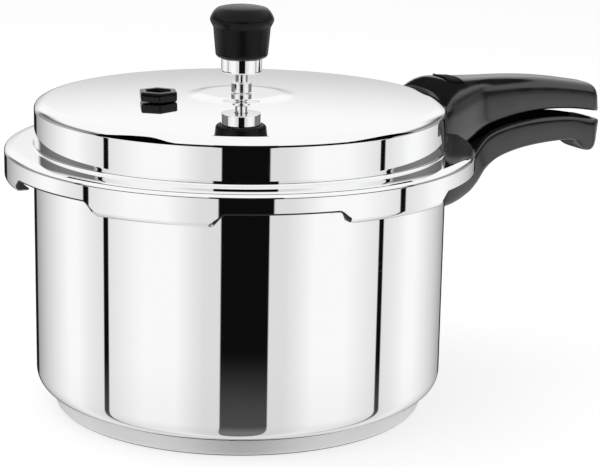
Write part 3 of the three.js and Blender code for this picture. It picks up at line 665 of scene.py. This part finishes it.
# Stretch of the hollow whose faces get painted shade
HOLLOW_SHADE_SPAN = (26.0, HANDLE_LENGTH - 8.0)
HANDLE_SIDES = 80
HANDLE_STEPS = 72
HANDLE_SHARP = 40.0


def smooth_through(points):
    """A smooth height along (distance, height) points."""
    def slope(i):
        before, after = points[max(i - 1, 0)], points[min(i + 1, len(points) - 1)]
        return (after[1] - before[1]) / (after[0] - before[0])

    def height(x):
        i = 0
        while i < len(points) - 2 and points[i + 1][0] <= x:
            i += 1
        (x0, y0), (x1, y1) = points[i], points[i + 1]
        span = x1 - x0
        t = min(max((x - x0) / span, 0.0), 1.0)
        lean = slope(i) * span * t * (1 - t) ** 2 - slope(i + 1) * span * t * t * (1 - t)
        return y0 + (y1 - y0) * t * t * (3 - 2 * t) + lean

    return height


def root(share, height):
    return share * ROOT_LENGTH, height


def grip(share, height):
    return ROOT_LENGTH + share * (HANDLE_LENGTH - ROOT_LENGTH), height


LID_HANDLE_TOP = [
    root(-0.1, 19.0), root(0.01, 22.5), root(0.1, 26.4), root(0.21, 28.5), root(0.5, 27.8), grip(0.0, 27.2),
    grip(0.22, 26.7), grip(0.47, 25.2), grip(0.73, 22.3), grip(1.0, 18.5)]
LID_HANDLE_BOTTOM = [
    root(-0.1, -10.0), root(0.45, -9.6), root(0.65, -7.0), root(0.825, -2.8), grip(0.0, 0.5), grip(0.22, 4.6),
    grip(0.47, 6.4), grip(0.73, 5.7), grip(1.0, 2.6)]
BODY_HANDLE_TOP = [
    root(-0.1, -11.5), root(0.45, -10.0), root(0.63, -7.4), root(0.78, -1.0), root(0.92, 4.0),
    grip(0.06, 7.2), grip(0.24, 9.9), grip(0.45, 11.0), grip(0.7, 10.4), grip(1.0, 6.5)]
BODY_HANDLE_BOTTOM = [
    root(-0.1, -35.5), root(0.3, -34.4), root(0.63, -29.6), root(0.78, -24.8), root(0.92, -17.5),
    grip(0.06, -11.7), grip(0.24, -7.4), grip(0.45, -5.2), grip(0.68, -4.5), grip(0.75, -5.4),
    grip(0.8, -8.8), grip(0.845, -11.2), grip(0.915, -11.8), grip(1.0, -8.5)]


class HandleForm:
    """The outer form of one handle, read at a distance out from the wall."""

    def __init__(self, wall, level, root_half, outline, arch, crisp, ends, leans, hollow, start):
        self.wall, self.level, self.root_half, self.start = wall, level, root_half, start
        self.top_at, self.bottom_at = (smooth_through(points) for points in outline)
        self.crisp_top, self.crisp_bottom = crisp
        self.top_end, self.bottom_end = ends
        self.arch, self.hollow = arch, hollow
        self.top_lean, self.bottom_lean = leans

    def section(self, out):
        flare = 1 - eased(out, 0.0, ROOT_LENGTH)
        into_end = min(max((out - HANDLE_LENGTH + END_ROUND) / END_ROUND, 0.0), 1.0)
        fall = 1 - math.sqrt(max(1 - into_end * into_end, 0.0))
        into_start = min(max((START_ROUND + self.start - out) / START_ROUND, 0.0), 1.0)
        eased_in = START_ROUND * (1 - math.sqrt(max(1 - into_start * into_start, 0.0)))
        half = (GRIP_HALF + (self.root_half - GRIP_HALF) * flare) * (1 - (1 - END_WIDTH) * fall) - eased_in
        top = self.level + self.top_at(out) - self.top_end * fall - eased_in
        return half, top, self.level + self.bottom_at(out) + self.bottom_end * fall, fall

    def squareness(self, out):
        return self.arch + (self.crisp_top - self.arch) * eased(out, *ARCH_RANGE)

    def point(self, out, angle):
        """A point on the skin: the angle runs round the section from the +Y side over the top."""
        half, top, bottom, fall = self.section(out)
        power = 2.0 / (self.squareness(out) if math.sin(angle) > 0 else self.crisp_bottom)
        across = math.copysign(abs(math.cos(angle)) ** power, math.cos(angle))
        rise = math.copysign(abs(math.sin(angle)) ** power, math.sin(angle))
        height = (top + bottom) / 2 + rise * (top - bottom) / 2
        if self.hollow and rise > 0.5:
            depth = self.hollow * eased(out, *HOLLOW_START) * (1 - eased(out, *HOLLOW_END))
            height -= depth * (1 - eased(abs(across), *HOLLOW_LIP))
        lean = self.top_lean * (1 + rise) / 2 + self.bottom_lean * (1 - rise) / 2
        return out - lean * fall, across * half, height

    def in_shaded_hollow(self, out, angle):
        """Whether a point lies down in the hollow of the top, whose faces get the painted shade."""
        in_length = HOLLOW_SHADE_SPAN[0] < out < HOLLOW_SHADE_SPAN[1]
        return self.hollow > 0 and in_length and math.sin(angle) > 0.5 and abs(math.cos(angle)) < 0.6

    def placed(self, out, across, height):
        hugging = math.sqrt((self.wall + out) ** 2 - across ** 2)
        along = hugging + (self.wall + out - hugging) * eased(out, 4.0, ROOT_LENGTH)
        return Vector((along * MM, across * MM, height * MM))


def make_handle(name, node, body, form, starts, keep_clear):
    straight_end = HANDLE_LENGTH - END_ROUND
    last = starts[-1]
    stations = list(starts)
    stations += [last + (straight_end - last) * i / HANDLE_STEPS for i in range(1, HANDLE_STEPS + 1)]
    stations += [HANDLE_LENGTH - END_ROUND * (1 - math.sin(math.radians(a))) for a in range(6, 91, 6)]
    bm = bmesh.new()
    mark = bm.verts.layers.int.new("in_shaded_hollow")
    rings = []
    for out in stations:
        ring = bmesh.ops.create_circle(bm, cap_ends=False, segments=HANDLE_SIDES, radius=1.0)["verts"]
        for vert in ring:
            angle = math.atan2(vert.co.y, vert.co.x)
            vert[mark] = int(form.in_shaded_hollow(out, angle))
            vert.co = keep_clear(form.placed(*form.point(out, angle)))
        rings.append(list({e for v in ring for e in v.link_edges}))
    for near, far in zip(rings, rings[1:]):
        bmesh.ops.bridge_loops(bm, edges=near + far)
    for end in (rings[0], rings[-1]):
        bmesh.ops.edgeloop_fill(bm, edges=end)
    bmesh.ops.remove_doubles(bm, verts=bm.verts, dist=SAME_PLACE)
    bmesh.ops.recalc_face_normals(bm, faces=bm.faces)
    # Faces down in the hollow get the darker bakelite as painted shade
    for face in bm.faces:
        if all(v[mark] for v in face.verts):
            face.material_index = 1
    finish_piece(name, bm, bakelite, body, [node], HANDLE_SHARP, second=plate_and_hollow_shade_bakelite)


# Plain plate set across the root of the lid handle
def make_plate(form):
    bm = bmesh.new()
    grid = bmesh.ops.create_grid(bm, x_segments=10, y_segments=24, size=0.5)["verts"]
    for vert in grid:
        out = 13.2 + 9.0 * (vert.co.x + 0.5) - 1.5 * vert.co.y
        across = -4.0 + 17.0 * vert.co.y
        half, top, bottom, _ = form.section(out)
        power = form.squareness(out)
        rise = max(1 - abs(across / half) ** power, 0.0) ** (1 / power)
        vert.co = form.placed(out, across, (top + bottom) / 2 + rise * (top - bottom) / 2 + 0.15)
    bmesh.ops.recalc_face_normals(bm, faces=bm.faces)
    bmesh.ops.inset_region(bm, faces=list(bm.faces), thickness=0.7 * MM, depth=0.0, use_boundary=True)
    bmesh.ops.solidify(bm, geom=list(bm.faces), thickness=-0.5 * MM)
    finish_piece("handle_plate", bm, plate_and_hollow_shade_bakelite, "lid", (), HANDLE_SHARP)


# Room that the handles leave for the metal
def clear_of_lid(point):
    radius = point.xy.length / MM
    if radius < LID_WALL + 1.6:
        floor = FLANGE_TOP + 1.6
    elif radius < FLANGE_FALL_START:
        floor = FLANGE_TOP + 0.05
    elif radius < SKIRT_RADIUS + 0.3:
        fall = math.sqrt(FLANGE_FALL ** 2 - (radius - FLANGE_FALL_START) ** 2)
        floor = FLANGE_TOP - FLANGE_FALL + 0.1 + fall
    else:
        return point
    point.z = max(point.z, floor * MM)
    return point


def clear_of_skirt(point):
    if point.xy.length < (SKIRT_RADIUS + 1.2) * MM:
        point.z = min(point.z, (LUG_BOTTOM - 1.3) * MM)
    return point


# Studio: a pale floor, a soft overhead lamp, two black cards and a surround for the steel
FLOOR_RADIUS = 6.0
FLOOR_PAPER = (0.92, 0.92, 0.92, 1.0)
FLOOR_GLOW = 1.06
FLOOR_GLOW_SHARE = 0.7
CARD_START = (LID_WALL * MM, 0.1655)
CARD_LENGTH = 0.16
CARD_SLOPE = 0.7
CARD_MIDDLE = -0.045
CARD_WIDTH = 0.19
CARD_REACH = 0.25

# Strip beside the lid's shoulder, in millimetres, with the degrees between which its humps rise and fall
STRIP_SPAN = 120.0
STRIP_WIDTH = 12.0
STRIP_GAP = 0.05
STRIP_LOW = 0.4
STRIP_LIFT = 2.4
STRIP_DROOP = 1.4
STRIP_REACH = 0.015
STRIP_LEFT = (16.0, 24.0, 25.0, 44.0)
STRIP_RIGHT = (27.0, 43.0, 45.0, 56.0)
STRIP_ENDS = (30.0, 55.0)


def stage_finish(name, first_kind, second_kind):
    """A material of two mixed shaders, with its node tree, both shaders and the socket of the share."""
    material = bpy.data.materials.new(name)
    material.use_nodes = True
    tree = material.node_tree
    tree.nodes.remove(tree.nodes["Principled BSDF"])
    first, second = tree.nodes.new(first_kind), tree.nodes.new(second_kind)
    mix = tree.nodes.new("ShaderNodeMixShader")
    tree.links.new(first.outputs[0], mix.inputs[1])
    tree.links.new(second.outputs[0], mix.inputs[2])
    tree.links.new(mix.outputs["Shader"], tree.nodes["Material Output"].inputs["Surface"])
    return material, tree, first, second, mix.inputs["Fac"]


def make_floor():
    bm = bmesh.new()
    bmesh.ops.create_circle(bm, cap_ends=True, segments=64, radius=FLOOR_RADIUS)
    material, _, paper, glow, share = stage_finish(
        "studio_floor", "ShaderNodeBsdfDiffuse", "ShaderNodeEmission")
    paper.inputs["Color"].default_value = FLOOR_PAPER
    glow.inputs["Strength"].default_value = FLOOR_GLOW
    share.default_value = FLOOR_GLOW_SHARE
    floor = new_object("studio_floor", bm, material)
    floor.visible_glossy = False


def put_card(name, bm, reach):
    """A thin card that only shining faces see: black from below and near by, otherwise clear."""
    material, tree, _, black, share = stage_finish(name, "ShaderNodeBsdfTransparent", "ShaderNodeEmission")
    black.inputs["Strength"].default_value = 0.0
    below = tree.nodes.new("ShaderNodeNewGeometry").outputs["Backfacing"]
    length = tree.nodes.new("ShaderNodeLightPath").outputs["Ray Length"]
    tree.links.new(reckon(tree, "MULTIPLY", below, reckon(tree, "LESS_THAN", length, reach)), share)
    card = new_object(name, bm, material)
    card.visible_camera = card.visible_diffuse = card.visible_shadow = False


def make_grip_card():
    """Rises from the lid's edge over both handles, so that the lid's top only meets its clear side."""
    bm = bmesh.new()
    bmesh.ops.create_grid(bm, x_segments=1, y_segments=1, size=0.5)
    for vert in bm.verts:
        out = CARD_LENGTH * (vert.co.x + 0.5)
        across = CARD_MIDDLE + CARD_WIDTH * vert.co.y
        vert.co = (CARD_START[0] + out, across, CARD_START[1] + CARD_SLOPE * out)
    put_card("grip_card", bm, CARD_REACH)


def hump(angle, start, top_start, top_end, end):
    return eased(angle, start, top_start) * (1 - eased(angle, top_end, end))


def make_shoulder_strip():
    """Lies beside the lid's shoulder on the camera's side, higher to the left and right of the middle."""
    shoulder, wall_top = shoulder_middles()[1]
    bm = bmesh.new()
    bmesh.ops.create_grid(bm, x_segments=120, y_segments=1, size=0.5)
    for vert in bm.verts:
        turned = -STRIP_SPAN * vert.co.x
        outward = vert.co.y + 0.5
        lift = 0.25 * (1 - eased(abs(turned), *STRIP_ENDS))
        lift += 0.75 * hump(-turned, *STRIP_LEFT) + 0.5 * hump(turned, *STRIP_RIGHT)
        rise = STRIP_LOW + STRIP_LIFT * lift
        radius = shoulder + math.sqrt(SHOULDER_TIGHT ** 2 - rise ** 2) + STRIP_GAP + STRIP_WIDTH * outward
        angle = math.radians(turned) - TURN - math.pi / 2
        height = wall_top + rise - STRIP_DROOP * lift * outward
        vert.co = (radius * math.cos(angle) * MM, radius * math.sin(angle) * MM, height * MM)
    put_card("shoulder_strip", bm, STRIP_REACH)


# Grey of the surround by its angle from the middle of the camera's side, in degrees
SURROUND = [
    (0.0, 0.004), (12.7, 0.004), (13.3, 0.75), (22.0, 0.76), (30.0, 0.87), (38.0, 1.0), (57.0, 1.0),
    (68.0, 0.9), (79.0, 0.8), (79.4, 0.004), (82.4, 0.004), (82.8, 0.79), (94.0, 0.88), (103.0, 1.0),
    (111.0, 1.0), (121.0, 0.88), (137.0, 0.66), (150.0, 0.46), (157.5, 0.36), (159.5, 0.012),
    (180.0, 0.012)]
SURROUND_MIDDLE = math.radians(3.0)

# Where the bands of the surround begin and end: elevations, then bearings, in degrees
LOW_STEP = (-20.0, -17.5)
LOW_SHADE = (-55.0, -20.0)
STRIPE_WIDENING = (-10.4, -9.7)
BORDER_BOTTOM = (-8.4, -7.6)
BORDER_TOP = (5.6, 6.6)
FRONT_RISE = (20.0, 27.0)
SIDE_RISE = (15.0, 30.0)
SIDE_DIMMING = (6.0, 8.3)
BACK_RISE = (-7.0, 3.0, 15.0)
FRONT_EDGE = (86.0, 90.0)
BACK_EDGE = (148.0, 156.0)
SIDE_DIM = 0.22


def make_world():
    world = bpy.data.worlds.new("studio")
    bpy.context.scene.world = world
    world.use_nodes = True
    tree = world.node_tree
    tree.nodes.clear()
    direction = tree.nodes.new("ShaderNodeTexCoord").outputs["Generated"]

    def along(vector):
        node = tree.nodes.new("ShaderNodeVectorMath")
        node.operation = "DOT_PRODUCT"
        tree.links.new(direction, node.inputs[0])
        node.inputs[1].default_value = vector
        return node.outputs["Value"]

    heading = TURN - SURROUND_MIDDLE
    toward = along((-math.sin(heading), -math.cos(heading), 0.0))
    right = along((math.cos(heading), -math.sin(heading), 0.0))
    bearing = reckon(tree, "ABSOLUTE", reckon(tree, "ARCTAN2", right, toward))
    rise = along((0.0, 0.0, 1.0))
    flat = reckon(tree, "SQRT", reckon(tree, "SUBTRACT", 1.0, reckon(tree, "MULTIPLY", rise, rise)))
    narrowing = reckon(tree, "MINIMUM", reckon(tree, "POWER", reckon(tree, "DIVIDE", flat, 0.94), 0.55), 1.0)
    degrees = reckon(tree, "DEGREES", reckon(tree, "ARCSINE", rise))
    widening = spread(tree, degrees, *STRIPE_WIDENING, 0.0, math.radians(4.5))
    bent = reckon(tree, "MAXIMUM", reckon(tree, "SUBTRACT", bearing, widening), 0.0)
    share = reckon(tree, "DIVIDE", reckon(tree, "MULTIPLY", bent, narrowing), math.pi)
    ramp = tree.nodes.new("ShaderNodeValToRGB")
    stops = ramp.color_ramp.elements
    while len(stops) > 1:
        stops.remove(stops[-1])
    stops[0].position = 0.0
    for number, (angle, grey) in enumerate(SURROUND):
        stop = stops[0] if number == 0 else stops.new(angle / 180.0)
        stop.color = (grey, grey, grey, 1.0)
    tree.links.new(share, ramp.inputs["Fac"])
    ring = ramp.outputs["Color"]

    def blend(fac, first, second):
        mix = tree.nodes.new("ShaderNodeMix")
        mix.data_type = "FLOAT"
        for label, value in (("Factor", fac), ("A", first), ("B", second)):
            if isinstance(value, bpy.types.NodeSocket):
                tree.links.new(value, mix.inputs[label])
            else:
                mix.inputs[label].default_value = value
        return mix.outputs["Result"]

    low_part = reckon(tree, "ADD", spread(tree, degrees, *LOW_STEP, 0.13, 0.0, True),
                      spread(tree, degrees, *LOW_SHADE, 0.2, 0.0))
    grey = blend(low_part, ring, 0.5)
    bearing_degrees = reckon(tree, "DEGREES", bearing)
    front = spread(tree, bearing_degrees, *FRONT_EDGE, 1.0, 0.0)
    back = spread(tree, bearing_degrees, *BACK_EDGE, 0.0, 1.0)
    path = tree.nodes.new("ShaderNodeLightPath")
    straight = reckon(tree, "LESS_THAN", path.outputs["Glossy Depth"], 1.5)

    # Dark border at eye level; steel seen in steel has none
    band = reckon(tree, "MULTIPLY", spread(tree, degrees, *BORDER_BOTTOM, 0.0, 1.0, True),
                  spread(tree, degrees, *BORDER_TOP, 1.0, 0.0, True))
    border = reckon(tree, "MULTIPLY", band, straight)

    # Front, sides and back, each bright overhead
    front_rise = spread(tree, degrees, *FRONT_RISE, 0.0, 1.0, True)
    front_grey = blend(front_rise, blend(border, grey, 0.008), 1.0)
    side_border = reckon(tree, "MULTIPLY", border, 0.6)
    side_rise = spread(tree, degrees, *SIDE_RISE, 0.0, 1.0, True)
    side_shade = blend(straight, SIDE_DIM, spread(tree, degrees, *SIDE_DIMMING, 1.0, SIDE_DIM))
    side_grey = blend(side_rise, blend(side_border, reckon(tree, "MULTIPLY", grey, side_shade), 0.05), 1.0)
    back_rise = reckon(tree, "ADD", spread(tree, degrees, *BACK_RISE[:2], 0.0, 0.64, True),
                       spread(tree, degrees, *BACK_RISE[1:], 0.0, 0.36, True))
    back_grey = blend(back_rise, grey, 1.0)
    seen = blend(front, blend(back, side_grey, back_grey), front_grey)
    glossy = tree.nodes.new("ShaderNodeBackground")
    tree.links.new(seen, glossy.inputs["Color"])
    plain = tree.nodes.new("ShaderNodeBackground")
    plain.inputs["Color"].default_value = (1.0, 1.0, 1.0, 1.0)
    tree.links.new(spread(tree, path.outputs["Is Camera Ray"], 0.0, 1.0, 0.75, 1.0), plain.inputs["Strength"])
    mix = tree.nodes.new("ShaderNodeMixShader")
    tree.links.new(path.outputs["Is Glossy Ray"], mix.inputs["Fac"])
    tree.links.new(plain.outputs["Background"], mix.inputs[1])
    tree.links.new(glossy.outputs["Background"], mix.inputs[2])
    out = tree.nodes.new("ShaderNodeOutputWorld")
    tree.links.new(mix.outputs["Shader"], out.inputs["Surface"])


def make_lamp(name, place, aim, size, power):
    data = bpy.data.lights.new(name, "AREA")
    data.shape = "DISK"
    data.size = size
    data.energy = power
    lamp = bpy.data.objects.new(name, data)
    lamp.location = place
    lamp.rotation_euler = (Vector(aim) - Vector(place)).to_track_quat("-Z", "Y").to_euler()
    lamp.visible_glossy = False
    bpy.context.scene.collection.objects.link(lamp)


def make_camera():
    cos_turn, sin_turn = math.cos(TURN), math.sin(TURN)

    def facing(right, away, up):
        return Vector((right * cos_turn + away * sin_turn, -right * sin_turn + away * cos_turn, up))

    forward = facing(math.sin(VIEW_PAN) * math.cos(VIEW_TILT), math.cos(VIEW_PAN) * math.cos(VIEW_TILT),
                     -math.sin(VIEW_TILT))
    level = facing(math.cos(VIEW_PAN), -math.sin(VIEW_PAN), 0.0)
    upright = level.cross(forward)
    right = math.cos(VIEW_ROLL) * level + math.sin(VIEW_ROLL) * upright
    up = -math.sin(VIEW_ROLL) * level + math.cos(VIEW_ROLL) * upright
    data = bpy.data.cameras.new("photo_view")
    data.lens = VIEW_LENS
    data.sensor_width = 36.0
    camera = bpy.data.objects.new("photo_view", data)
    turned = Matrix((right, up, -forward)).transposed().to_4x4()
    camera.matrix_world = Matrix.Translation(facing(0.0, -VIEW_DISTANCE, VIEW_HEIGHT)) @ turned
    bpy.context.scene.collection.objects.link(camera)
    bpy.context.scene.camera = camera


make_pot()
make_base()
make_lid()
make_vent()
make_slug()
make_knob()
make_safety_plug()
LID_STARTS = [
    0.5, 0.53, 0.62, 0.78, 1.0, 1.35, 1.8, 2.3, 2.55, 4.0, 5.5, 7.0, 9.0, 11.0, 13.0, 15.0, 16.1, 16.2, 17.5]
lid_form = HandleForm(
    LID_WALL, FLANGE_TOP, root_half=27.0, outline=(LID_HANDLE_TOP, LID_HANDLE_BOTTOM), arch=2.1, crisp=(3.6, 6.0),
    ends=(14.5, 0.0), leans=(6.5, 1.2), hollow=0.0, start=0.5)
make_handle("lid_handle_grip", "lid_handle", "lid", lid_form, LID_STARTS, clear_of_lid)
make_plate(lid_form)
BODY_STARTS = [2.2, 2.25, 2.4, 2.7, 3.2, 4.0, 5.0, 7.0, 10.0, 13.0, 16.5, 16.6, 18.0]
body_form = HandleForm(
    POT_RADIUS, RIM_TOP, root_half=24.0, outline=(BODY_HANDLE_TOP, BODY_HANDLE_BOTTOM), arch=4.0, crisp=(7.0, 6.0),
    ends=(0.8, 9.5), leans=(0.5, 6.5), hollow=8.0, start=2.2)
make_handle("body_handle_grip", "body_handle", "pot", body_form, BODY_STARTS, clear_of_skirt)

for node_name, finish in {
    "base_core": aluminium, "sealing_gasket": silicone, "vent_washer": silicone, "vent_nut": brass,
    "safety_plug_core": fusible_alloy, "safety_valve_washer": silicone, "safety_valve_nut": brass,
    "weight_needle": satin_steel, "weight_clip": satin_steel, "lid_bracket": satin_steel,
    "lid_handle_screw": satin_steel, "body_bracket": satin_steel, "body_handle_screw": satin_steel,
}.items():
    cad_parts[node_name].material_slots[0].material = finish

make_floor()
make_grip_card()
make_shoulder_strip()
make_world()
make_lamp("overhead_soft", (-0.5, 0.1, 1.6), (0.0, 0.0, 0.1), 1.6, 14.0)
make_camera()
bpy.context.scene.view_settings.view_transform = "Standard"
